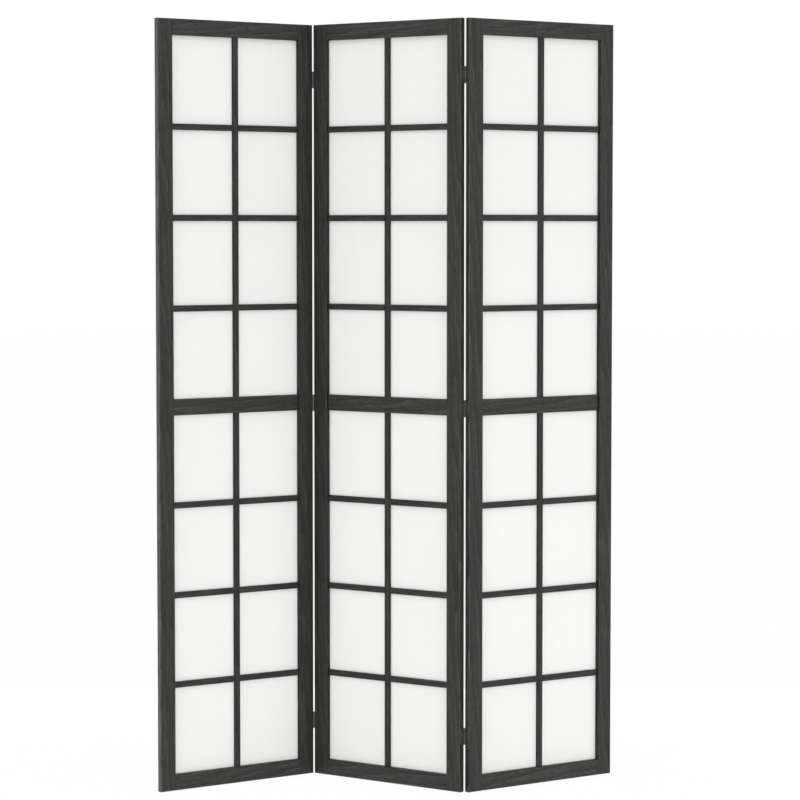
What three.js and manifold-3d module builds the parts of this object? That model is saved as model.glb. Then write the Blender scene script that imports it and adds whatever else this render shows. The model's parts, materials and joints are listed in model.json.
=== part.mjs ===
// Shoji folding screen: three latticed paper panels in a zigzag, joined by six butt hinges.
// Millimetres. +Z is up, the front faces -Y, and the screen runs along X. The origin is on
// the floor, under the centre of the middle panel.
import * as THREE from 'three';
import { mergeVertices } from 'three/addons/utils/BufferGeometryUtils.js';
import Module from 'manifold-3d';

const wasm = await Module();
wasm.setup();

// Panel frame: two stiles, a top rail and a bottom rail.
const PANEL_WIDTH = 399;
const PANEL_HEIGHT = 1700;
const FRAME_THICKNESS = 16;
const STILE_WIDTH = 37;
const TOP_RAIL_HEIGHT = 36;
const BOTTOM_RAIL_HEIGHT = 36;
const FRAME_ARRIS = 2; // radius of the frame's rounded edges

// Blind tenons of the two rails. The shoulders are measured from the rail's outer and inner edge.
const TENON_LENGTH = 22;
const TENON_THICKNESS = 6;
const TENON_OUTER_SHOULDER = 5;
const TENON_INNER_SHOULDER = 8;

// Lattice, let into notches in the frame from behind, and the paper pasted over its back.
const LATTICE_RECESS = 4.2; // from the frame's front face to the lattice's
const BAR_WIDTH = 13.7;
const BAR_DEPTH = 5.8;
const BAR_ARRIS = 1; // radius of the bars' rounded front edges
const MIDDLE_RAIL_HEIGHT = 36;
const CROSS_BARS_PER_HALF = 3;
const LATTICE_SEAT = 5; // how far each bar end goes into its notch
const REBATE_MARGIN = 1; // how much wider than a notch the paper's rebate is
const PAPER_THICKNESS = 0.4;

// Butt hinges, let into the facing edges of the stiles.
const HINGE_HEIGHT = 37;
const HINGE_INSET = 123; // from a panel's end to the middle of the nearest hinge
const MIDDLE_HINGE_DROP = 2; // below the panel's mid height
const LEAF_THICKNESS = 0.7;
const LEAF_RECESS = 0.6; // how deep a leaf is let into the stile's edge
const LEAF_REACH = 14.2; // from the pin's axis to the leaf's far edge
const LEAF_GAP = 0.5; // between the two leaves when the panels lie in one line
const PIN_PROUD = 0.6; // from the frame's face out to the pin's axis
const PIN_RADIUS = 0.6;
const PIN_HEAD_RADIUS = 1.3;
const PIN_HEAD_HEIGHT = 0.6;
const KNUCKLE_COUNT = 6; // shared out in turn between the two leaves
const SCREW_HOLE_RADIUS = 1.4;
const COUNTERSINK_RADIUS = 2.5;
const SCREW_SETBACK = 8.2; // from the pin's axis to the screws
const SCREW_SPACING = 25;
const PILOT_RADIUS = 1.2;
const PILOT_DEPTH = 11;

// Fits
const JOINT_CLEARANCE = 0.25; // between glued or seated pieces
const RUNNING_CLEARANCE = 0.2; // round the pins and between the knuckles

// Pose: how far each panel is turned out of the screen's line.
const ZIGZAG_ANGLE = THREE.MathUtils.degToRad(34.6);

// Fineness of the round shapes
const ARRIS_SEGMENTS = 3;
const KNUCKLE_SEGMENTS = 16;
const BORE_SEGMENTS = 12;
const HOLE_SEGMENTS = 10;
const PILOT_SEGMENTS = 8;
const OVERCUT = 1; // how far a cutting tool reaches past the face that it cuts

const blackWood = new THREE.MeshStandardMaterial({ color: 0x34332f, roughness: 0.5, metalness: 0 });
const shojiPaper = new THREE.MeshStandardMaterial({ color: 0xf3f3f0, roughness: 0.9, metalness: 0 });
const darkBronze = new THREE.MeshStandardMaterial({ color: 0x4b443c, roughness: 0.45, metalness: 0.8 });

// Places that several pieces share. In a panel x runs from its left edge, y back from its
// front face, and z up from the floor.
const innerLeft = STILE_WIDTH;
const innerRight = PANEL_WIDTH - STILE_WIDTH;
const innerBottom = BOTTOM_RAIL_HEIGHT;
const innerTop = PANEL_HEIGHT - TOP_RAIL_HEIGHT;
const centreX = (innerLeft + innerRight) / 2;
const centreZ = PANEL_HEIGHT / 2;
const middleRailBottom = centreZ - MIDDLE_RAIL_HEIGHT / 2;
const middleRailTop = centreZ + MIDDLE_RAIL_HEIGHT / 2;
const latticeBack = LATTICE_RECESS + BAR_DEPTH;
const latticeCore = LATTICE_RECESS + BAR_DEPTH / 2;
const rebateWidth = LATTICE_SEAT + REBATE_MARGIN;
const seatWidth = BAR_WIDTH / 2 + JOINT_CLEARANCE;
const edgeToPin = LEAF_GAP / 2 + LEAF_THICKNESS + JOINT_CLEARANCE - LEAF_RECESS;
const boreRadius = PIN_RADIUS + RUNNING_CLEARANCE;
const knuckleRadius = boreRadius + LEAF_THICKNESS;

// A closed geometry as a solid that can be joined and cut.
function solid(geometry) {
  const bare = geometry.clone();
  bare.deleteAttribute('normal');
  bare.deleteAttribute('uv');
  const merged = mergeVertices(bare);
  return new wasm.Manifold(new wasm.Mesh({
    numProp: 3,
    vertProperties: new Float32Array(merged.attributes.position.array),
    triVerts: new Uint32Array(merged.index.array),
  }));
}

function toGeometry(body) {
  const mesh = body.getMesh();
  const geometry = new THREE.BufferGeometry();
  geometry.setAttribute('position', new THREE.BufferAttribute(mesh.vertProperties, mesh.numProp));
  geometry.setIndex(new THREE.BufferAttribute(mesh.triVerts, 1));
  return geometry.toNonIndexed();
}

function box([x0, x1], [y0, y1], [z0, z1]) {
  const geometry = new THREE.BoxGeometry(x1 - x0, y1 - y0, z1 - z0);
  return solid(geometry.translate((x0 + x1) / 2, (y0 + y1) / 2, (z0 + z1) / 2));
}

// An upright cylinder about the z axis.
function upright(radius, z0, z1, segments) {
  const geometry = new THREE.CylinderGeometry(radius, radius, z1 - z0, segments);
  return solid(geometry.rotateX(Math.PI / 2).translate(0, 0, (z0 + z1) / 2));
}

// The whole frame in one piece: an outline with the panel's opening, all its edges rounded,
// and a rebate behind the opening's edge for the paper.
function frameBlank() {
  const outline = new THREE.Shape();
  outline.moveTo(0, 0);
  outline.lineTo(PANEL_WIDTH, 0);
  outline.lineTo(PANEL_WIDTH, PANEL_HEIGHT);
  outline.lineTo(0, PANEL_HEIGHT);
  outline.closePath();
  const opening = new THREE.Path();
  opening.moveTo(innerLeft, innerBottom);
  opening.lineTo(innerLeft, innerTop);
  opening.lineTo(innerRight, innerTop);
  opening.lineTo(innerRight, innerBottom);
  opening.closePath();
  outline.holes.push(opening);
  const plate = new THREE.ExtrudeGeometry(outline, {
    depth: FRAME_THICKNESS - 2 * FRAME_ARRIS,
    bevelThickness: FRAME_ARRIS,
    bevelSize: FRAME_ARRIS,
    bevelOffset: -FRAME_ARRIS,
    bevelSegments: ARRIS_SEGMENTS,
  });
  plate.rotateX(Math.PI / 2).translate(0, FRAME_THICKNESS - FRAME_ARRIS, 0);
  const rebate = box(
    [innerLeft - rebateWidth, innerRight + rebateWidth],
    [latticeBack, FRAME_THICKNESS + OVERCUT],
    [innerBottom - rebateWidth, innerTop + rebateWidth],
  );
  return solid(plate).subtract(rebate);
}

// A lattice bar's section, with the two front edges rounded, run along z.
function barAlongZ(width, z0, z1) {
  const half = width / 2;
  const section = new THREE.Shape();
  section.moveTo(half, BAR_DEPTH);
  section.lineTo(-half, BAR_DEPTH);
  section.lineTo(-half, BAR_ARRIS);
  section.absarc(BAR_ARRIS - half, BAR_ARRIS, BAR_ARRIS, Math.PI, 1.5 * Math.PI);
  section.absarc(half - BAR_ARRIS, BAR_ARRIS, BAR_ARRIS, 1.5 * Math.PI, 2 * Math.PI);
  section.closePath();
  const run = new THREE.ExtrudeGeometry(section, {
    depth: z1 - z0,
    bevelEnabled: false,
    curveSegments: ARRIS_SEGMENTS,
  });
  return run.translate(0, LATTICE_RECESS, z0);
}

// A bar or rail that runs from stile to stile at a height, seated in both.
function barAlongX(width, height) {
  const run = barAlongZ(width, innerLeft - LATTICE_SEAT, innerRight + LATTICE_SEAT);
  return solid(run.rotateY(Math.PI / 2).translate(0, 0, height));
}

// The z ranges of the two halves of the opening, below and above the middle rail.
const halves = {
  lower: { bottom: innerBottom, top: middleRailBottom },
  upper: { bottom: middleRailTop, top: innerTop },
};

// Heights of one half's cross bars: their centre lines share the half out evenly.
function crossBarHeights(half) {
  const pitch = (half.top - half.bottom) / (CROSS_BARS_PER_HALF + 1);
  const heights = [];
  for (let i = 1; i <= CROSS_BARS_PER_HALF; i += 1) heights.push(half.bottom + i * pitch);
  return heights;
}

const crossHeights = [...crossBarHeights(halves.lower), ...crossBarHeights(halves.upper)];

// Tenon ranges in a rail, given the rail's outer and inner edge.
function tenonHeights(outerEdge, innerEdge) {
  const inward = Math.sign(innerEdge - outerEdge);
  const ends = [outerEdge + inward * TENON_OUTER_SHOULDER, innerEdge - inward * TENON_INNER_SHOULDER];
  return ends.sort((a, b) => a - b);
}

const tenonFront = (FRAME_THICKNESS - TENON_THICKNESS) / 2;
const tenonDepths = [tenonFront, tenonFront + TENON_THICKNESS];
const railTenons = {
  top: tenonHeights(PANEL_HEIGHT, innerTop),
  bottom: tenonHeights(0, innerBottom),
};

function widened([low, high], clearance) {
  return [low - clearance, high + clearance];
}

// Middle heights of the hinges on a pair of stiles.
const hingeHeights = {
  lower: HINGE_INSET,
  middle: centreZ - MIDDLE_HINGE_DROP,
  upper: PANEL_HEIGHT - HINGE_INSET,
};

// Where a pin's axis lies behind the front face, for hinges on the front or the rear edge.
const pinDepth = { front: -PIN_PROUD, rear: FRAME_THICKNESS + PIN_PROUD };
const intoFrame = { front: 1, rear: -1 };

// Pilot holes for the hinge screws, bored into a stile's outer edge.
function pilotHoles(edgeX, inward, face) {
  const holes = [];
  const depth = pinDepth[face] + intoFrame[face] * SCREW_SETBACK;
  for (const middle of Object.values(hingeHeights)) {
    for (const side of [-1, 1]) {
      const drill = new THREE.CylinderGeometry(
        PILOT_RADIUS, PILOT_RADIUS, PILOT_DEPTH + OVERCUT, PILOT_SEGMENTS,
      );
      const drillCentre = edgeX + inward * (PILOT_DEPTH - OVERCUT) / 2;
      drill.rotateZ(Math.PI / 2);
      drill.translate(drillCentre, depth, middle + side * SCREW_SPACING / 2);
      holes.push(solid(drill));
    }
  }
  return holes;
}

// The shallow cuts in a stile's outer edge that the hinge leaves lie in, open to the pins' face.
function leafRecesses(edgeX, inward, face) {
  const into = intoFrame[face];
  const openEnd = pinDepth[face] - into * OVERCUT;
  const closedEnd = pinDepth[face] + into * (LEAF_REACH + JOINT_CLEARANCE);
  const across = [edgeX - inward * OVERCUT, edgeX + inward * LEAF_RECESS].sort((a, b) => a - b);
  const depths = [openEnd, closedEnd].sort((a, b) => a - b);
  return Object.values(hingeHeights).map((middle) => {
    const half = HINGE_HEIGHT / 2;
    return box(across, depths, widened([middle - half, middle + half], JOINT_CLEARANCE));
  });
}

// A stile, with mortises for the rails and notches for the lattice. hingeFace names the face
// that its hinges' pins stand on, and is left out on a stile without hinges.
function stileGeometry(blank, side, hingeFace) {
  const isLeft = side === 'left';
  const innerX = isLeft ? innerLeft : innerRight;
  const inward = isLeft ? 1 : -1;
  const outerX = isLeft ? 0 : PANEL_WIDTH;
  const range = (depth) => [innerX - inward * depth, innerX + inward * OVERCUT].sort((a, b) => a - b);
  const keep = [outerX - inward * OVERCUT, innerX].sort((a, b) => a - b);
  let stile = blank.intersect(
    box(keep, [-OVERCUT, FRAME_THICKNESS + OVERCUT], [-OVERCUT, PANEL_HEIGHT + OVERCUT]),
  );
  for (const heights of Object.values(railTenons)) {
    stile = stile.subtract(box(
      range(TENON_LENGTH + JOINT_CLEARANCE),
      widened(tenonDepths, JOINT_CLEARANCE),
      widened(heights, JOINT_CLEARANCE),
    ));
  }
  const notch = (height, width) => box(
    range(LATTICE_SEAT + JOINT_CLEARANCE),
    [LATTICE_RECESS - JOINT_CLEARANCE, latticeBack + OVERCUT],
    widened([height - width / 2, height + width / 2], JOINT_CLEARANCE),
  );
  for (const height of crossHeights) stile = stile.subtract(notch(height, BAR_WIDTH));
  stile = stile.subtract(notch(centreZ, MIDDLE_RAIL_HEIGHT));
  if (hingeFace) {
    for (const cut of leafRecesses(outerX, inward, hingeFace)) stile = stile.subtract(cut);
    for (const hole of pilotHoles(outerX, inward, hingeFace)) stile = stile.subtract(hole);
  }
  return toGeometry(stile);
}

// The top or bottom rail, with a tenon at each end and a notch for the upright bar.
function railGeometry(blank, end) {
  const isTop = end === 'top';
  const heights = isTop
    ? [innerTop - OVERCUT, PANEL_HEIGHT + OVERCUT]
    : [-OVERCUT, innerBottom + OVERCUT];
  const innerZ = isTop ? innerTop : innerBottom;
  const outward = isTop ? 1 : -1;
  const shoulders = widened([innerLeft, innerRight], -JOINT_CLEARANCE);
  const rail = blank
    .intersect(box(shoulders, [-OVERCUT, FRAME_THICKNESS + OVERCUT], heights))
    .add(box(widened([innerLeft, innerRight], TENON_LENGTH), tenonDepths, railTenons[end]));
  const notchHeights = [innerZ + outward * (LATTICE_SEAT + JOINT_CLEARANCE), innerZ - outward * OVERCUT];
  return toGeometry(rail.subtract(box(
    [centreX - seatWidth, centreX + seatWidth],
    [LATTICE_RECESS - JOINT_CLEARANCE, latticeBack + OVERCUT],
    notchHeights.sort((a, b) => a - b),
  )));
}

// The middle rail of the lattice, lapped at its back for the tongues of the upright bars.
function middleRailGeometry() {
  let rail = barAlongX(MIDDLE_RAIL_HEIGHT, centreZ);
  const lapDepth = LATTICE_SEAT + JOINT_CLEARANCE;
  const laps = [
    [middleRailTop - lapDepth, middleRailTop + OVERCUT],
    [middleRailBottom - OVERCUT, middleRailBottom + lapDepth],
  ];
  for (const heights of laps) {
    rail = rail.subtract(box(
      [centreX - seatWidth, centreX + seatWidth],
      [latticeCore, latticeBack + OVERCUT],
      heights,
    ));
  }
  return toGeometry(rail);
}

// A cross bar, half cut away in front where the upright bar passes over it.
function crossBarGeometry(height) {
  const lap = box(
    [centreX - seatWidth, centreX + seatWidth],
    [LATTICE_RECESS - OVERCUT, latticeCore + JOINT_CLEARANCE / 2],
    [height - BAR_WIDTH, height + BAR_WIDTH],
  );
  return toGeometry(barAlongX(BAR_WIDTH, height).subtract(lap));
}

// An upright bar: seated in a rail at one end, a tongue behind the middle rail at the other,
// and half cut away at its back over each cross bar.
function uprightBarGeometry(halfName) {
  const half = halves[halfName];
  const isUpper = halfName === 'upper';
  const railEnd = isUpper ? half.top + LATTICE_SEAT : half.bottom - LATTICE_SEAT;
  const middleEdge = isUpper ? half.bottom : half.top;
  const outward = isUpper ? 1 : -1;
  const ends = [middleEdge - outward * LATTICE_SEAT, railEnd].sort((a, b) => a - b);
  let bar = solid(barAlongZ(BAR_WIDTH, ...ends).translate(centreX, 0, 0));
  const lapBack = latticeCore + JOINT_CLEARANCE;
  const tongueRoot = middleEdge + outward * JOINT_CLEARANCE;
  const tongueEnd = middleEdge - outward * (LATTICE_SEAT + OVERCUT);
  const tongueHeights = [tongueRoot, tongueEnd].sort((a, b) => a - b);
  const across = [centreX - BAR_WIDTH, centreX + BAR_WIDTH];
  bar = bar.subtract(box(across, [LATTICE_RECESS - OVERCUT, lapBack], tongueHeights));
  for (const height of crossBarHeights(half)) {
    bar = bar.subtract(box(
      across,
      [latticeCore - JOINT_CLEARANCE / 2, latticeBack + OVERCUT],
      [height - seatWidth, height + seatWidth],
    ));
  }
  return toGeometry(bar);
}

function paperGeometry() {
  const [left, right] = widened([innerLeft, innerRight], rebateWidth - JOINT_CLEARANCE);
  const [bottom, top] = widened([innerBottom, innerTop], rebateWidth - JOINT_CLEARANCE);
  const sheet = new THREE.BoxGeometry(right - left, PAPER_THICKNESS, top - bottom);
  const depth = latticeBack + JOINT_CLEARANCE + PAPER_THICKNESS / 2;
  return sheet.translate((left + right) / 2, depth, (bottom + top) / 2);
}

// One hinge leaf about a pin on the z axis: a plate on the +x side, reaching back along +y,
// with knuckles in every second slot from the bottom. Its mate is the same leaf upside down.
function leafGeometry() {
  const slotHeight = HINGE_HEIGHT / KNUCKLE_COUNT;
  const halfHeight = HINGE_HEIGHT / 2;
  const plateInner = LEAF_GAP / 2;
  const plateDepths = [knuckleRadius / 2, LEAF_REACH];
  let leaf = box([plateInner, plateInner + LEAF_THICKNESS], plateDepths, [-halfHeight, halfHeight]);
  for (let slot = 0; slot < KNUCKLE_COUNT; slot += 1) {
    const slotRange = [slot * slotHeight - halfHeight, (slot + 1) * slotHeight - halfHeight];
    if (slot % 2 === 0) {
      const [z0, z1] = widened(slotRange, -RUNNING_CLEARANCE / 2);
      leaf = leaf.add(upright(knuckleRadius, z0, z1, KNUCKLE_SEGMENTS));
    } else {
      leaf = leaf.subtract(box(
        [plateInner - OVERCUT, plateInner + LEAF_THICKNESS + OVERCUT],
        [0, knuckleRadius + RUNNING_CLEARANCE],
        widened(slotRange, RUNNING_CLEARANCE / 2),
      ));
    }
  }
  leaf = leaf.subtract(upright(boreRadius, -HINGE_HEIGHT, HINGE_HEIGHT, BORE_SEGMENTS));
  for (const side of [-1, 1]) {
    const countersink = new THREE.CylinderGeometry(
      SCREW_HOLE_RADIUS, COUNTERSINK_RADIUS, LEAF_THICKNESS, HOLE_SEGMENTS,
    );
    countersink.rotateZ(-Math.PI / 2);
    countersink.translate(plateInner + LEAF_THICKNESS / 2, SCREW_SETBACK, side * SCREW_SPACING / 2);
    leaf = leaf.subtract(solid(countersink));
  }
  return toGeometry(leaf);
}

// A hinge pin with a low head at each end.
function pinGeometry() {
  const shoulder = HINGE_HEIGHT / 2 + RUNNING_CLEARANCE;
  const end = shoulder + PIN_HEAD_HEIGHT;
  const chamfer = PIN_HEAD_HEIGHT / 2;
  const upperHalf = [
    [PIN_RADIUS, shoulder],
    [PIN_HEAD_RADIUS, shoulder],
    [PIN_HEAD_RADIUS, end - chamfer],
    [PIN_HEAD_RADIUS - chamfer, end],
    [0, end],
  ];
  const lowerHalf = upperHalf.map(([radius, z]) => [radius, -z]).reverse();
  const profile = [...lowerHalf, ...upperHalf].map(([radius, z]) => new THREE.Vector2(radius, z));
  return new THREE.LatheGeometry(profile, BORE_SEGMENTS).rotateX(Math.PI / 2);
}

function named(name, geometry, material) {
  const mesh = new THREE.Mesh(geometry, material);
  mesh.name = name;
  return mesh;
}

const hingeLeaf = leafGeometry();
const hingePin = pinGeometry();
const blank = frameBlank();
const sharedPieces = {
  top_rail: railGeometry(blank, 'top'),
  bottom_rail: railGeometry(blank, 'bottom'),
  middle_rail: middleRailGeometry(),
  lower_upright_bar: uprightBarGeometry('lower'),
  upper_upright_bar: uprightBarGeometry('upper'),
};
crossHeights.forEach((height, index) => {
  sharedPieces[`cross_bar_${index + 1}`] = crossBarGeometry(height);
});

// A panel in its own frame. leftHinges and rightHinges name the face that the pins on that
// edge stand on.
function makePanel(name, leftHinges, rightHinges) {
  const panel = new THREE.Group();
  panel.add(named(`${name}_left_stile`, stileGeometry(blank, 'left', leftHinges), blackWood));
  panel.add(named(`${name}_right_stile`, stileGeometry(blank, 'right', rightHinges), blackWood));
  for (const [piece, geometry] of Object.entries(sharedPieces)) {
    panel.add(named(`${name}_${piece}`, geometry, blackWood));
  }
  panel.add(named(`${name}_paper`, paperGeometry(), shojiPaper));
  return panel;
}

// The pin line on a panel's left or right edge, as a point of the panel's own frame.
function pinPoint(side, face) {
  const x = side === 'left' ? -edgeToPin : PANEL_WIDTH + edgeToPin;
  return new THREE.Vector3(x, pinDepth[face], 0);
}

// The half turn that brings a leaf to a panel's left or right edge and a front or rear pin. Of
// a hinge's two leaves, one is upright and one upside down.
const leafTurns = {
  left: { front: [0, 0, 0], rear: [Math.PI, 0, 0] },
  right: { front: [0, Math.PI, 0], rear: [0, 0, Math.PI] },
};

// Adds one edge's leaves to a panel. joint names the pair of panels that they hinge, and a
// leaf is the joint's left or right one.
function addLeaves(panel, side, face, joint, leafName) {
  for (const [level, height] of Object.entries(hingeHeights)) {
    const leaf = named(`${level}_${joint}_hinge_${leafName}_leaf`, hingeLeaf, darkBronze);
    leaf.rotation.set(...leafTurns[side][face]);
    leaf.position.copy(pinPoint(side, face)).setZ(height);
    panel.add(leaf);
  }
}

// Adds one edge's pins to the panel whose leaves hold them.
function addPins(panel, side, face, joint) {
  for (const [level, height] of Object.entries(hingeHeights)) {
    const pin = named(`${level}_${joint}_hinge_pin`, hingePin, darkBronze);
    pin.position.copy(pinPoint(side, face)).setZ(height);
    panel.add(pin);
  }
}

// Turns a panel about z and sets it so that one of its own points comes to a given place.
function place(panel, angle, ownPoint, target) {
  panel.rotation.z = angle;
  const turned = ownPoint.clone().applyAxisAngle(new THREE.Vector3(0, 0, 1), angle);
  panel.position.copy(target).sub(turned);
  panel.updateMatrixWorld();
}

const middlePanel = makePanel('middle_panel', 'front', 'rear');
addLeaves(middlePanel, 'left', 'front', 'left', 'right');
addLeaves(middlePanel, 'right', 'rear', 'right', 'left');
const middleCentre = new THREE.Vector3(PANEL_WIDTH / 2, FRAME_THICKNESS / 2, 0);
place(middlePanel, -ZIGZAG_ANGLE, middleCentre, new THREE.Vector3());

const leftPanel = makePanel('left_panel', null, 'front');
addLeaves(leftPanel, 'right', 'front', 'left', 'left');
addPins(leftPanel, 'right', 'front', 'left');
const leftPins = middlePanel.localToWorld(pinPoint('left', 'front'));
place(leftPanel, ZIGZAG_ANGLE, pinPoint('right', 'front'), leftPins);

const rightPanel = makePanel('right_panel', 'rear', null);
addLeaves(rightPanel, 'left', 'rear', 'right', 'right');
addPins(rightPanel, 'left', 'rear', 'right');
const rightPins = middlePanel.localToWorld(pinPoint('right', 'rear'));
place(rightPanel, ZIGZAG_ANGLE, pinPoint('left', 'rear'), rightPins);

const screen = new THREE.Group();
screen.add(leftPanel, middlePanel, rightPanel);

export default screen;
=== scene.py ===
"""The looks of a shoji folding screen of three panels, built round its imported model.

Metres, in the model's frame: +Z up, the front facing -Y, the floor at z = 0. Each panel has
axes of its own, found by turning the frame about z: x along the panel, y through its
thickness and z up.
"""
import json
import math
import random

import bmesh
import bpy
from mathutils import Matrix, Vector

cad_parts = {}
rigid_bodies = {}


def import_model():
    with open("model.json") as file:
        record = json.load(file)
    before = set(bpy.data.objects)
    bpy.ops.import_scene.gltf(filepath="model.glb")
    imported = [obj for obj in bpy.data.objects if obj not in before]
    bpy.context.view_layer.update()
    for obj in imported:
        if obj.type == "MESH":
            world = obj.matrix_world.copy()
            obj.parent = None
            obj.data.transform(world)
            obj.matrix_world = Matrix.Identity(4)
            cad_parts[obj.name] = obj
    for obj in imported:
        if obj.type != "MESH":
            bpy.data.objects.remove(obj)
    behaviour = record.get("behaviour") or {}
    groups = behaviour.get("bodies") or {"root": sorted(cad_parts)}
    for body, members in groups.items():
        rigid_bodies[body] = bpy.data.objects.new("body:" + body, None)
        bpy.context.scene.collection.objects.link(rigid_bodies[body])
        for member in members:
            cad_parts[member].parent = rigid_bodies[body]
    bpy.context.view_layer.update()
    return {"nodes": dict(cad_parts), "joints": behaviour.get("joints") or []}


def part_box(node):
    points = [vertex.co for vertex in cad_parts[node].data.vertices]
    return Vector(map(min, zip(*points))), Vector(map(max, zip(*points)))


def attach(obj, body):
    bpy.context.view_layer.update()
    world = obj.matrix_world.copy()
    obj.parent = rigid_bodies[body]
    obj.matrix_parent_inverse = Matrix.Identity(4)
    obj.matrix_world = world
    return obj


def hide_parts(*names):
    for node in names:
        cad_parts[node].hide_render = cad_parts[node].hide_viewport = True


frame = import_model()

MM = 0.001
WHITE = (1, 1, 1, 1)

# The camera, as the photograph was taken
IMAGE_WIDTH = 800.0  # pixels
FOCAL_LENGTH = 2825.8  # pixels
SENSOR_WIDTH = 36.0
CLIP_END = 100
CAMERA_PLACE = Vector((0.0438, -6.293, 1.2361))
CAMERA_PITCH = math.radians(-3.413)
CAMERA_TURN = math.radians(0.152)  # to the left

# Light: the surround's strength in front and behind, with the stretch of y that it changes over
SURROUND_FRONT = 1.18
SURROUND_BACK = 0.6
SURROUND_CHANGE = (-0.7, 0.5)
LAMPS = {
    "left_fill": {"place": (-3.5, -2.0, 0.9), "aim": (0, 0, 0.9), "size": (1.5, 1.6), "power": 9},
    "right_fill": {"place": (3.5, -2.0, 0.9), "aim": (0, 0, 0.9), "size": (1.5, 1.6), "power": 11},
    "front_low": {"place": (0, -1.3, 0.1), "aim": (0, 0, 0.1), "size": (2.6, 0.2), "power": 1},
    "rear_low": {"place": (0, 1.3, 0.1), "aim": (0, 0, 0.1), "size": (2.6, 0.2), "power": 9},
    "overhead": {"place": (0, -1.6, 3.4), "aim": (0, 0, 1.5), "size": (2.6, 1.0), "power": 4},
}

# Floor
FLOOR_WHITENESS = 0.93  # how far the floor is white to the camera, against what its light makes it
FLOOR_COLOUR = (0.97, 0.97, 0.97, 1)
FLOOR_RADIUS = 30
FLOOR_SEGMENTS = 64

# Wood: the stain's colours from the deepest pore up, and its lightness on the members' faces, and
# on their narrow sides, kept darker there as painted shade
STAIN_TONES = [
    (0.0, (0.002, 0.002, 0.0015)),
    (0.3, (0.0065, 0.0066, 0.005)),
    (0.55, (0.021, 0.0213, 0.0158)),
    (0.8, (0.058, 0.0585, 0.043)),
]
STAIN_LIGHTNESS = {"stile": 0.7, "rail": 0.9, "bar": 0.5}
SIDE_LIGHTNESS = 0.5
FACE_GLOSS = 0.5
SIDE_GLOSS = 0.28
SIDE_TO_FACE = (0.35, 0.85)  # how squarely a surface faces the front or back, from side to face
# The sides given a painted highlight and sheen, where light falls on them most: the end of a
# member's name, the side's direction in its panel's axes, and the lightness the highlight adds.
PAINTED_LIT_SIDES = {
    "left_panel_left_stile": ((-1, 0, 0), 2.3),
    "right_panel_right_stile": ((1, 0, 0), 2.3),
    "left_stile": ((-1, 0, 0), 1.9),
    "right_stile": ((1, 0, 0), 1.1),
    "top_rail": ((0, 0, 1), 1.9),
    "bottom_rail": ((0, 0, -1), 1.9),
}
PAINTED_LIT_RANGE = (0.15, 0.75)  # how squarely a surface faces that way, from no painted highlight to full
TEXTURE_SHIFT = 5  # metres, the furthest that a member's grain is moved to set it apart

# Paper and bronze
PAPER_TONES = [
    (0.2, (0.945, 0.947, 0.937)),
    (0.8, (0.97, 0.972, 0.963)),
]
PAPER_THROUGH = 0.35  # the share of the light that goes through
BRONZE_TONES = [
    (0.3, (0.125, 0.122, 0.112)),
    (0.55, (0.185, 0.182, 0.168)),
    (0.75, (0.26, 0.256, 0.237)),
]
SCREW_PAINTED_SHADE = 0.45  # against the leaves: the screws' darker bronze is painted shade

# Hinges, in the leaf's own frame: the pin stands on the z axis, the plate lies beside it at +x
# and reaches back along +y.
HINGE_HEIGHT = 37 * MM
LEAF_THICKNESS = 0.7 * MM
LEAF_REACH = 14.2 * MM
LEAF_GAP = 0.5 * MM
LEAF_CORNER = 1.2 * MM
EDGE_SOFTNESS = 0.08 * MM
PIN_RADIUS = 0.6 * MM
PIN_HEAD_RADIUS = 1.3 * MM
PIN_HEAD_HEIGHT = 0.6 * MM
KNUCKLE_COUNT = 6
RUNNING_CLEARANCE = 0.2 * MM
SCREW_SETBACK = 8.2 * MM
SCREW_SPACING = 25 * MM
SCREW_HOLE_RADIUS = 1.4 * MM
COUNTERSINK_RADIUS = 2.5 * MM
PLATE_MIDDLE = (LEAF_GAP + LEAF_THICKNESS) / 2
ROLL_RADIUS = PIN_RADIUS + RUNNING_CLEARANCE + LEAF_THICKNESS / 2
ROLL_ROOT = 1.6 * ROLL_RADIUS  # from the pin's axis to where the plate starts to swing out
ROLL_TURN = math.radians(275)

# Screws
SCREW_LENGTH = 10 * MM
SCREW_CLEARANCE = 0.12 * MM
HEAD_RIM = 0.08 * MM
HEAD_ROOT = 0.9  # the cone's narrow end against the hole under it
THREAD_RADIUS = 1.05 * MM
THREAD_DEPTH = 0.28 * MM
THREAD_PITCH = 0.95 * MM
THREAD_SHARPNESS = 3  # the pitch against the ridge's reach to each side of its crest
SHANK_RADIUS = 0.92 * THREAD_RADIUS
SHANK_END = 3 * MM  # from the head's face to the first turn of the thread
POINT_LENGTH = 2.2 * MM
SLOT_WIDTH = 0.55 * MM
SLOT_DEPTH = 0.4 * MM
TWIST_SEED = 7  # for how far each screw is turned

# How finely the metal is modelled
ROUND_SEGMENTS = 32
SCREW_SEGMENTS = 16
THREAD_STEPS = 8  # in each turn
CORNER_STEPS = 6
SWING_STEPS = 6
ROLL_STEPS = 30
DOME_STEPS = 7
BEVEL_SEGMENTS = 2
BEVEL_ANGLE = math.radians(40)  # edges sharper than this are rounded
SMOOTH_ANGLE = math.radians(35)  # edges less sharp than this are shaded smooth
FLAT_ANGLE = math.radians(1)  # faces closer to one plane than this are joined
SLIVER = 0.05 * MM  # points closer than this are welded
CUT_OVERRUN = 1 * MM  # how far a cutter passes the surface


def scene_object(name, data):
    """A new object of the scene that holds the data."""
    thing = bpy.data.objects.new(name, data)
    bpy.context.scene.collection.objects.link(thing)
    return thing


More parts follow.
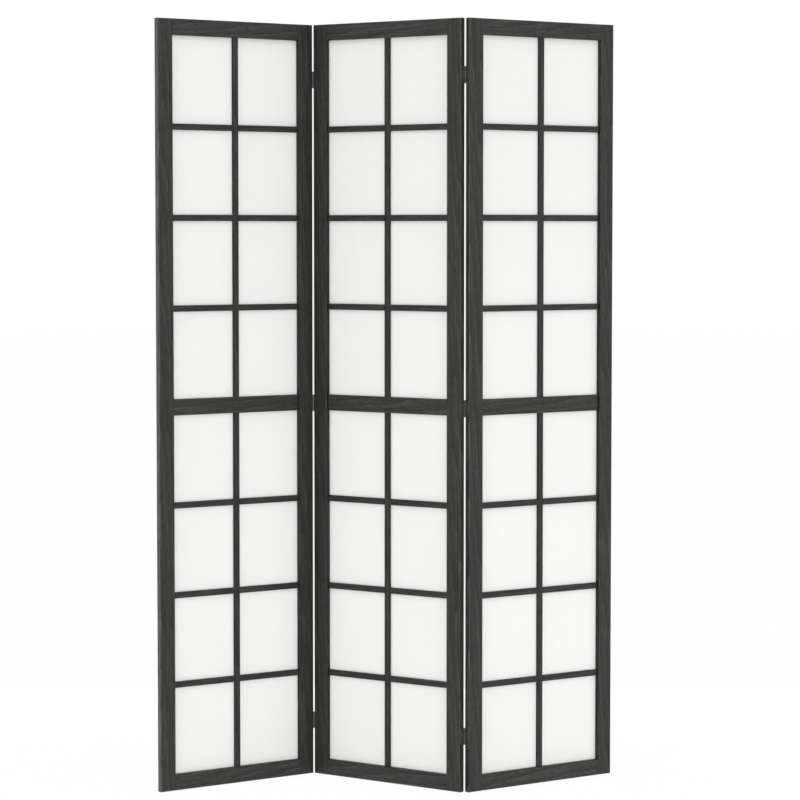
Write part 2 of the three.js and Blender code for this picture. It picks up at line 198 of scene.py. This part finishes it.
def make_camera():
    """The camera at its place in front of the screen, a little above mid height."""
    camera = scene_object("camera", bpy.data.cameras.new("camera"))
    camera.location = CAMERA_PLACE
    camera.rotation_euler = (math.pi / 2 + CAMERA_PITCH, 0, CAMERA_TURN)
    camera.data.sensor_width = SENSOR_WIDTH
    camera.data.lens = FOCAL_LENGTH * SENSOR_WIDTH / IMAGE_WIDTH
    camera.data.clip_end = CLIP_END
    bpy.context.scene.camera = camera


class Nodes:
    """The nodes of a new material or world: makes them and links them in one call each."""

    def __init__(self, owner):
        owner.use_nodes = True
        self.tree = owner.node_tree
        self.tree.nodes.clear()

    def add(self, kind, inputs=None, **settings):
        node = self.tree.nodes.new(kind)
        for key, value in settings.items():
            setattr(node, key, value)
        for key, value in (inputs or {}).items():
            if isinstance(value, bpy.types.NodeSocket):
                self.tree.links.new(value, node.inputs[key])
            else:
                node.inputs[key].default_value = value
        return node

    def math(self, operation, first, second=0.0):
        return self.add("ShaderNodeMath", {0: first, 1: second}, operation=operation).outputs[0]

    def weighted(self, *parts):
        """The sum of values, each given as (value, weight)."""
        products = [self.math("MULTIPLY", value, weight) for value, weight in parts]
        total = products[0]
        for product in products[1:]:
            total = self.math("ADD", total, product)
        return total

    def dot(self, vector, direction):
        inputs = {0: vector, 1: direction}
        return self.add("ShaderNodeVectorMath", inputs, operation="DOT_PRODUCT").outputs["Value"]

    def spread(self, value, source, target=(0.0, 1.0), **settings):
        """value, moved from one stretch, given as (low, high), to another."""
        inputs = {
            "Value": value,
            "From Min": source[0],
            "From Max": source[1],
            "To Min": target[0],
            "To Max": target[1],
        }
        return self.add("ShaderNodeMapRange", inputs, **settings).outputs["Result"]

    def noise(self, vector, scale, detail=2.0, roughness=0.5, distortion=0.0, output="Fac"):
        inputs = {
            "Vector": vector,
            "Scale": scale,
            "Detail": detail,
            "Roughness": roughness,
            "Distortion": distortion,
        }
        return self.add("ShaderNodeTexNoise", inputs).outputs[output]

    def mapped(self, vector, **changes):
        """vector after a Location, Rotation and Scale."""
        return self.add("ShaderNodeMapping", {"Vector": vector, **changes}).outputs["Vector"]

    def ramp(self, value, stops):
        node = self.add("ShaderNodeValToRGB", {"Fac": value})
        points = node.color_ramp.elements
        while len(points) < len(stops):
            points.new(0.5)
        for point, (place, colour) in zip(points, stops):
            point.position = place
            point.color = (*colour, 1)
        return node.outputs["Color"]

    def relief(self, height, strength, distance):
        inputs = {"Height": height, "Strength": strength, "Distance": distance}
        return self.add("ShaderNodeBump", inputs).outputs["Normal"]

    def mixed(self, share, first, second):
        inputs = {0: share, 1: first.outputs[0], 2: second.outputs[0]}
        return self.add("ShaderNodeMixShader", inputs)

    def object_place(self):
        return self.add("ShaderNodeTexCoord").outputs["Object"]

    def seen_directly(self):
        """1 to the camera and in reflections, and 0 to the light on other surfaces."""
        path = self.add("ShaderNodeLightPath")
        return self.math("ADD", path.outputs["Is Camera Ray"], path.outputs["Is Glossy Ray"])


def material_of(name, build, *values):
    """A new material, whose nodes build makes from the values."""
    material = bpy.data.materials.new(name)
    nodes = Nodes(material)
    shader = build(nodes, *values)
    nodes.add("ShaderNodeOutputMaterial", {"Surface": shader.outputs[0]})
    return material


def stained_wood(nodes, panel_turn, grain_upright, lightness, painted_lit_side, seed):
    """Open-grained wood under a black stain: streaks, growth rings and pores run along the member.

    The narrow sides are darker and less glossy: painted shade. The side named in the arguments,
    by its direction in panel axes and the lightness it gains, gets painted highlight and sheen.
    """
    draw = random.Random(seed)
    # The panel's axes, moved to a part of the texture of the member's own.
    own = nodes.mapped(
        nodes.object_place(),
        Rotation=(0, 0, -panel_turn),
        Location=tuple(draw.uniform(-TEXTURE_SHIFT, TEXTURE_SHIFT) for _ in range(3)),
    )
    # Grain coordinates: z is along the member.
    if not grain_upright:
        own = nodes.mapped(own, Rotation=(0, math.pi / 2, 0))

    def drawn_out(along):
        return nodes.mapped(own, Scale=(1, 1, along))

    streaks = nodes.noise(drawn_out(0.03), scale=260, detail=4, roughness=0.6, distortion=0.4)
    figure = nodes.noise(drawn_out(0.1), scale=38, detail=3, roughness=0.55, distortion=0.6)
    rings = nodes.add("ShaderNodeTexWave", {
        "Vector": drawn_out(0.09),
        "Scale": 38.0,
        "Distortion": 9.0,
        "Detail": 2.0,
        "Detail Scale": 0.8,
    }, wave_type="BANDS", bands_direction="DIAGONAL", wave_profile="SAW").outputs["Fac"]
    pores = nodes.spread(nodes.noise(drawn_out(0.035), scale=1500), (0.36, 0.46))
    tone = nodes.weighted((streaks, 0.5), (figure, 0.25), (rings, 0.25))
    height = nodes.math("MULTIPLY", tone, pores)

    normal = nodes.add("ShaderNodeNewGeometry").outputs["True Normal"]
    panel = Matrix.Rotation(panel_turn, 3, "Z")
    facing = nodes.math("ABSOLUTE", nodes.dot(normal, panel @ Vector((0, 1, 0))))
    # painted shade: the narrow sides are darker and less glossy than the faces
    strength = nodes.spread(facing, SIDE_TO_FACE, (SIDE_LIGHTNESS * lightness, lightness))
    gloss = nodes.spread(facing, SIDE_TO_FACE, (SIDE_GLOSS, FACE_GLOSS))
    # painted highlight and painted sheen: the named outer side is made lighter and glossier
    if painted_lit_side:
        outward, gain = painted_lit_side
        painted_lit_share = nodes.spread(nodes.dot(normal, panel @ Vector(outward)), PAINTED_LIT_RANGE)
        strength = nodes.math("ADD", strength, nodes.math("MULTIPLY", painted_lit_share, gain))
        gloss = nodes.math("ADD", gloss, nodes.math("MULTIPLY", painted_lit_share, FACE_GLOSS - SIDE_GLOSS))
    stain = {0: nodes.ramp(height, STAIN_TONES), "Scale": strength}
    return nodes.add("ShaderNodeBsdfPrincipled", {
        "Base Color": nodes.add("ShaderNodeVectorMath", stain, operation="SCALE").outputs[0],
        "Roughness": nodes.spread(height, (0.2, 0.7), (0.5, 0.38)),
        "Specular IOR Level": nodes.math(
            "MULTIPLY", gloss, nodes.spread(height, (0.25, 0.65), (0.87, 1.2))),
        "Normal": nodes.relief(height, strength=0.5, distance=0.15 * MM),
    })


def washi(nodes):
    """White shoji paper: long faint fibres, a soft cloudiness, and light that shines through."""
    place = nodes.object_place()
    clouds = nodes.noise(place, scale=22, detail=3, roughness=0.6)
    bent = nodes.add("ShaderNodeVectorMath", {
        0: nodes.noise(place, scale=35, output="Color"),
        1: (0.02, 0.02, 0.02),
        2: place,
    }, operation="MULTIPLY_ADD").outputs[0]
    edges = nodes.add("ShaderNodeTexVoronoi", {
        "Vector": bent,
        "Scale": 90.0,
    }, feature="DISTANCE_TO_EDGE").outputs["Distance"]
    fibres = nodes.spread(edges, (0.0, 0.035), (1.0, 0.0))
    speckle = nodes.noise(place, scale=900)
    tone = nodes.weighted((clouds, 0.55), (fibres, 0.3), (speckle, 0.15))
    colour = nodes.ramp(tone, PAPER_TONES)
    relief = nodes.relief(tone, strength=0.25, distance=0.1 * MM)
    face = nodes.add("ShaderNodeBsdfPrincipled", {
        "Base Color": colour,
        "Roughness": 0.9,
        "Specular IOR Level": 0.2,
        "Normal": relief,
    })
    through = nodes.add("ShaderNodeBsdfTranslucent", {"Color": colour, "Normal": relief})
    return nodes.mixed(PAPER_THROUGH, face, through)


def bronze(nodes, lightness):
    """Dark antique bronze, brighter in places by wear, at a given lightness; below 1 it is painted
    shade.
    """
    place = nodes.object_place()
    clouds = nodes.noise(place, scale=180, detail=3, roughness=0.6)
    grain = nodes.noise(place, scale=2600, roughness=0.6)
    tone = nodes.weighted((clouds, 0.7), (grain, 0.3))
    tones = [(at, [lightness * part for part in colour]) for at, colour in BRONZE_TONES]
    return nodes.add("ShaderNodeBsdfPrincipled", {
        "Base Color": nodes.ramp(tone, tones),
        "Metallic": 0.85,
        "Roughness": nodes.spread(tone, (0.3, 0.7), (0.38, 0.24)),
        "Normal": nodes.relief(grain, strength=0.2, distance=0.05 * MM),
    })


def floor_paint(nodes):
    """Pale paint that is all but white to the camera, and plain to the light it sends on."""
    paint = nodes.add("ShaderNodeBsdfDiffuse", {"Color": FLOOR_COLOUR})
    glow = nodes.add("ShaderNodeEmission", {"Color": WHITE, "Strength": 1.0})
    return nodes.mixed(nodes.math("MULTIPLY", nodes.seen_directly(), FLOOR_WHITENESS), paint, glow)


def dress_panels(turns):
    """Gives each packed wooden piece and each sheet of paper its material."""
    paper = material_of("washi", washi)
    for seed, name in enumerate(sorted(frame["nodes"])):
        side, split, member = name.partition("_panel_")
        if not split:
            continue
        if member == "paper":
            material = paper
        else:
            upright = member.endswith(("_stile", "_upright_bar"))
            # the side, if any, that gets a painted highlight and sheen
            painted_lit_side = next((PAINTED_LIT_SIDES[end] for end in PAINTED_LIT_SIDES if name.endswith(end)), None)
            lightness = next(STAIN_LIGHTNESS[kind] for kind in STAIN_LIGHTNESS if kind in member)
            turn = turns[side + "_panel"]
            material = material_of(
                "wood_" + name, stained_wood, turn, upright, lightness, painted_lit_side, seed)
        for slot in frame["nodes"][name].material_slots:
            slot.material = material


def extruded(bm, outline, low, high):
    """Adds a closed prism of an outline, given as (x, y) points in turn, between two heights."""
    floor = [bm.verts.new((x, y, low)) for x, y in outline]
    top = [bm.verts.new((x, y, high)) for x, y in outline]
    count = len(outline)
    bm.faces.new(list(reversed(floor)))
    bm.faces.new(top)
    for i in range(count):
        j = (i + 1) % count
        bm.faces.new((floor[i], floor[j], top[j], top[i]))


def revolved(profile, segments, radius_at=None):
    """A closed body of revolution about z, from (radius, z) points with both ends on the axis."""
    bm = bmesh.new()
    start = bm.verts.new((0, 0, profile[0][1]))
    end = bm.verts.new((0, 0, profile[-1][1]))
    rings = []
    for radius, z in profile[1:-1]:
        ring = []
        for i in range(segments):
            angle = 2 * math.pi * i / segments
            reach = radius_at(radius, z, angle) if radius_at else radius
            ring.append(bm.verts.new((reach * math.cos(angle), reach * math.sin(angle), z)))
        rings.append(ring)
    for i in range(segments):
        j = (i + 1) % segments
        bm.faces.new((start, rings[0][j], rings[0][i]))
        bm.faces.new((end, rings[-1][i], rings[-1][j]))
        for low, high in zip(rings, rings[1:]):
            bm.faces.new((low[i], low[j], high[j], high[i]))
    return bm


def mesh_of(bm, name):
    """The bmesh as a mesh with its faces turned outwards. The bmesh is used up."""
    bmesh.ops.recalc_face_normals(bm, faces=bm.faces)
    mesh = bpy.data.meshes.new(name)
    bm.to_mesh(mesh)
    bm.free()
    return mesh


def modified(mesh, *steps):
    """The mesh after modifiers, each given as (type, settings)."""
    thing = scene_object("workpiece", mesh)
    for number, (kind, settings) in enumerate(steps):
        modifier = thing.modifiers.new(f"step_{number}", kind)
        for key, value in settings.items():
            setattr(modifier, key, value)
    bpy.context.view_layer.update()
    graph = bpy.context.evaluated_depsgraph_get()
    result = bpy.data.meshes.new_from_object(thing.evaluated_get(graph))
    bpy.data.objects.remove(thing)
    return result


def combined(mesh, *others):
    """The mesh after booleans, each given as (operation, mesh)."""
    things = [scene_object("other", other) for _, other in others]
    result = modified(mesh, *(
        ("BOOLEAN", {"operation": operation, "object": thing, "solver": "EXACT"})
        for (operation, _), thing in zip(others, things)
    ))
    for thing in things:
        bpy.data.objects.remove(thing)
    return result


def cleaned(mesh):
    """The mesh without the slivers that cutting leaves, its flat faces whole again."""
    bm = bmesh.new()
    bm.from_mesh(mesh)
    bmesh.ops.remove_doubles(bm, verts=bm.verts, dist=SLIVER)
    bmesh.ops.dissolve_limit(bm, angle_limit=FLAT_ANGLE, verts=bm.verts, edges=bm.edges)
    bm.to_mesh(mesh)
    bm.free()
    return mesh


def smoothed(mesh):
    """The mesh shaded smooth, with its sharp edges left sharp."""
    bm = bmesh.new()
    bm.from_mesh(mesh)
    for face in bm.faces:
        face.smooth = True
    for edge in bm.edges:
        edge.smooth = len(edge.link_faces) == 2 and edge.calc_face_angle(0) < SMOOTH_ANGLE
    bm.to_mesh(mesh)
    bm.free()
    return mesh


def rolled_outline():
    """The section of one knuckle: the plate swings out to the pin and rolls round it."""
    middle = []
    for i in range(SWING_STEPS + 1):
        t = i / SWING_STEPS
        smooth = t * t * (3 - 2 * t)
        middle.append((PLATE_MIDDLE + (ROLL_RADIUS - PLATE_MIDDLE) * smooth, ROLL_ROOT * (1 - t)))
    for i in range(1, ROLL_STEPS + 1):
        angle = -ROLL_TURN * i / ROLL_STEPS
        middle.append((ROLL_RADIUS * math.cos(angle), ROLL_RADIUS * math.sin(angle)))
    outer, inner = [], []
    for i, point in enumerate(middle):
        before = Vector(middle[max(i - 1, 0)])
        after = Vector(middle[min(i + 1, len(middle) - 1)])
        along = (after - before).normalized()
        side = Vector((-along.y, along.x)) * LEAF_THICKNESS / 2
        outer.append(Vector(point) + side)
        inner.append(Vector(point) - side)
    return outer + list(reversed(inner))


def plate_mesh():
    """A leaf's plate with rounded far corners, as far as the root of its knuckles."""
    half = HINGE_HEIGHT / 2
    outline = []  # in the plate's own plane, as (reach, height)
    for end in (1, -1):
        centre = Vector((LEAF_REACH - LEAF_CORNER, end * (half - LEAF_CORNER)))
        for i in range(CORNER_STEPS + 1):
            turn = math.radians(90 * i / CORNER_STEPS)
            angle = math.pi / 2 - turn if end > 0 else -turn
            outline.append(centre + LEAF_CORNER * Vector((math.cos(angle), math.sin(angle))))
    outline += [Vector((ROLL_ROOT, -half)), Vector((ROLL_ROOT, half))]
    bm = bmesh.new()
    extruded(bm, outline, LEAF_GAP / 2, LEAF_GAP / 2 + LEAF_THICKNESS)
    # From (reach, height, x) to (x, reach, height)
    for vert in bm.verts:
        reach, height, x = vert.co
        vert.co = (x, reach, height)
    return mesh_of(bm, "plate")


def knuckles_mesh():
    """A leaf's rolled knuckles, in every second slot."""
    slot = HINGE_HEIGHT / KNUCKLE_COUNT
    half = HINGE_HEIGHT / 2
    bm = bmesh.new()
    for number in range(0, KNUCKLE_COUNT, 2):
        low = number * slot - half + RUNNING_CLEARANCE / 2
        high = (number + 1) * slot - half - RUNNING_CLEARANCE / 2
        extruded(bm, rolled_outline(), low, high)
    return mesh_of(bm, "knuckles")


def drills_mesh():
    """What the two countersunk screw holes take out of a leaf."""
    slope = (COUNTERSINK_RADIUS - SCREW_HOLE_RADIUS) / LEAF_THICKNESS
    profile = [
        (0, -CUT_OVERRUN),
        (COUNTERSINK_RADIUS + CUT_OVERRUN * slope, -CUT_OVERRUN),
        (SCREW_HOLE_RADIUS, LEAF_THICKNESS),
        (SCREW_HOLE_RADIUS, LEAF_THICKNESS + CUT_OVERRUN),
        (0, LEAF_THICKNESS + CUT_OVERRUN),
    ]
    bm = bmesh.new()
    for end in (-1, 1):
        drill = revolved(profile, ROUND_SEGMENTS)
        place = Matrix.Translation((LEAF_GAP / 2, SCREW_SETBACK, end * SCREW_SPACING / 2))
        drill.transform(place @ Matrix.Rotation(math.pi / 2, 4, "Y"))
        bm.from_mesh(mesh_of(drill, "drill"))
    return mesh_of(bm, "drills")


def leaf_mesh():
    """A pressed leaf: a plate, its rolled knuckles and its screw holes, with softened edges."""
    leaf = combined(plate_mesh(), ("UNION", knuckles_mesh()), ("DIFFERENCE", drills_mesh()))
    return modified(cleaned(leaf), ("BEVEL", {
        "width": EDGE_SOFTNESS,
        "segments": BEVEL_SEGMENTS,
        "limit_method": "ANGLE",
        "angle_limit": BEVEL_ANGLE,
        "use_clamp_overlap": False,
    }))


def pin_mesh():
    """A pin with a low domed head at each end."""
    shoulder = HINGE_HEIGHT / 2 + RUNNING_CLEARANCE
    dome = []
    for i in range(DOME_STEPS + 1):
        angle = math.pi / 2 * i / DOME_STEPS
        height = PIN_HEAD_HEIGHT * math.sin(angle)
        dome.append((PIN_HEAD_RADIUS * math.cos(angle), shoulder + height))
    upper = [(PIN_RADIUS, shoulder), *dome[:-1], (0, dome[-1][1])]
    lower = [(radius, -z) for radius, z in reversed(upper)]
    return mesh_of(revolved(lower + upper, ROUND_SEGMENTS), "pin")


def screw_mesh():
    """A slotted countersunk screw along z: its head's face at z = 0 and its point at -z."""
    head_radius = COUNTERSINK_RADIUS - SCREW_CLEARANCE
    core = THREAD_RADIUS - THREAD_DEPTH
    tip = -SCREW_LENGTH
    profile = [(0, tip)]
    for i in range(1, int((SCREW_LENGTH - SHANK_END) / THREAD_PITCH * THREAD_STEPS) + 1):
        z = tip + i * THREAD_PITCH / THREAD_STEPS
        profile.append((core * min(1, (z - tip) / POINT_LENGTH), z))
    profile += [
        (SHANK_RADIUS, -SHANK_END + THREAD_PITCH),
        (SHANK_RADIUS, -LEAF_THICKNESS - SCREW_CLEARANCE),
        (HEAD_ROOT * (SCREW_HOLE_RADIUS - SCREW_CLEARANCE), -LEAF_THICKNESS),
        (head_radius, -HEAD_RIM),
        (head_radius, 0),
        (0, 0),
    ]

    def threaded(radius, z, angle):
        if z > -SHANK_END:
            return radius
        rise = (z / THREAD_PITCH - angle / (2 * math.pi)) % 1
        ridge = THREAD_DEPTH * max(0, 1 - abs(rise - 0.5) * THREAD_SHARPNESS)
        return radius + ridge * min(1, (z - tip) / POINT_LENGTH)

    screw = mesh_of(revolved(profile, SCREW_SEGMENTS, threaded), "screw")
    reach = COUNTERSINK_RADIUS + CUT_OVERRUN
    half = SLOT_WIDTH / 2
    bm = bmesh.new()
    outline = [(-reach, -half), (reach, -half), (reach, half), (-reach, half)]
    extruded(bm, outline, -SLOT_DEPTH, CUT_OVERRUN)
    return combined(screw, ("DIFFERENCE", mesh_of(bm, "slot")))


def new_piece(name, mesh, matrix, body, material, replaced=()):
    """A metal piece of its own mesh, with its points in the model's frame, riding on a body."""
    mesh = mesh.copy()
    mesh.name = name
    mesh.transform(matrix)
    mesh.materials.clear()
    mesh.materials.append(material)
    piece = scene_object(name, mesh)
    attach(piece, body)
    if replaced:
        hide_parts(*replaced)


def dress_hinges(turns):
    """Stands finer leaves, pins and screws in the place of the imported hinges."""
    metal = material_of("antique_bronze", bronze, 1.0)
    # the screws' bronze, made darker as painted shade for their sunken heads
    shaded_screw_metal = material_of("screw_bronze_painted_shade", bronze, SCREW_PAINTED_SHADE)
    leaf = smoothed(leaf_mesh())
    pin = smoothed(pin_mesh())
    screw = smoothed(screw_mesh())
    # How the leaf is turned over, by the side of its joint and its own side of the pin
    half_turns = {
        ("left", "right"): Matrix.Identity(4),
        ("left", "left"): Matrix.Rotation(math.pi, 4, "Y"),
        ("right", "left"): Matrix.Rotation(math.pi, 4, "Z"),
        ("right", "right"): Matrix.Rotation(math.pi, 4, "X"),
    }
    into_wood = Matrix.Rotation(-math.pi / 2, 4, "Y")
    draw = random.Random(TWIST_SEED)
    joints = {joint["name"]: joint for joint in frame["joints"]}
    for side, other in (("left", "right"), ("right", "left")):
        joint = joints[side + "_fold"]
        for level in ("lower", "middle", "upper"):
            hinge = f"{level}_{side}_hinge"
            low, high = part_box(hinge + "_pin")
            x, y, _ = joint["pos_m"]
            centre = Matrix.Translation((x, y, (low.z + high.z) / 2))
            new_piece(hinge + "_domed_pin", pin, centre, joint["child"], metal, [hinge + "_pin"])
            for leaf_side, body in ((side, joint["child"]), (other, joint["parent"])):
                node = f"{hinge}_{leaf_side}_leaf"
                panel = Matrix.Rotation(turns[body], 4, "Z")
                place = centre @ panel @ half_turns[side, leaf_side]
                new_piece(node + "_rolled", leaf, place, body, metal, [node])
                for number, end in enumerate((-1, 1), 1):
                    seat = Matrix.Translation((
                        LEAF_GAP / 2 + SCREW_CLEARANCE,
                        SCREW_SETBACK,
                        end * SCREW_SPACING / 2,
                    ))
                    twist = Matrix.Rotation(draw.uniform(0, math.pi), 4, "Z")
                    new_piece(f"{node}_screw_{number}", screw, place @ seat @ into_wood @ twist,
                              body, shaded_screw_metal)


def make_floor():
    """A white floor that keeps a soft shadow and runs on into the background."""
    bm = bmesh.new()
    bmesh.ops.create_circle(bm, cap_ends=True, segments=FLOOR_SEGMENTS, radius=FLOOR_RADIUS)
    mesh = mesh_of(bm, "floor")
    mesh.materials.append(material_of("floor", floor_paint))
    scene_object("floor", mesh)


def make_surround():
    """A surround that is white to the camera, and lights the scene more from in front."""
    world = bpy.data.worlds.new("surround")
    bpy.context.scene.world = world
    nodes = Nodes(world)
    direction = nodes.add("ShaderNodeTexCoord").outputs["Generated"]
    axes = nodes.add("ShaderNodeSeparateXYZ", {0: direction})
    strength = nodes.spread(
        axes.outputs["Y"], SURROUND_CHANGE, (SURROUND_FRONT, SURROUND_BACK),
        interpolation_type="SMOOTHSTEP")
    light = nodes.add("ShaderNodeBackground", {"Color": WHITE, "Strength": strength})
    white = nodes.add("ShaderNodeBackground", {"Color": WHITE, "Strength": 1.0})
    both = nodes.mixed(nodes.seen_directly(), light, white)
    nodes.add("ShaderNodeOutputWorld", {"Surface": both.outputs[0]})


def make_lamps():
    """Soft lamps that level out the light on the panels, and that nothing shows."""
    for name, values in LAMPS.items():
        light = bpy.data.lights.new(name, "AREA")
        light.shape = "RECTANGLE"
        light.size, light.size_y = values["size"]
        light.energy = values["power"]
        lamp = scene_object(name, light)
        lamp.location = values["place"]
        aim = Vector(values["aim"]) - lamp.location
        lamp.rotation_euler = aim.to_track_quat("-Z", "Y").to_euler()
        lamp.visible_camera = False
        lamp.visible_glossy = False


make_camera()
# Each panel stands half a fold out of line, to the opposite side of its neighbours.
half_fold = -math.radians(frame["joints"][0]["range_deg"][0]) / 2
panel_turns = {"left_panel": half_fold, "middle_panel": -half_fold, "right_panel": half_fold}
dress_panels(panel_turns)
dress_hinges(panel_turns)
make_floor()
make_surround()
make_lamps()
bpy.context.scene.view_settings.view_transform = "Standard"
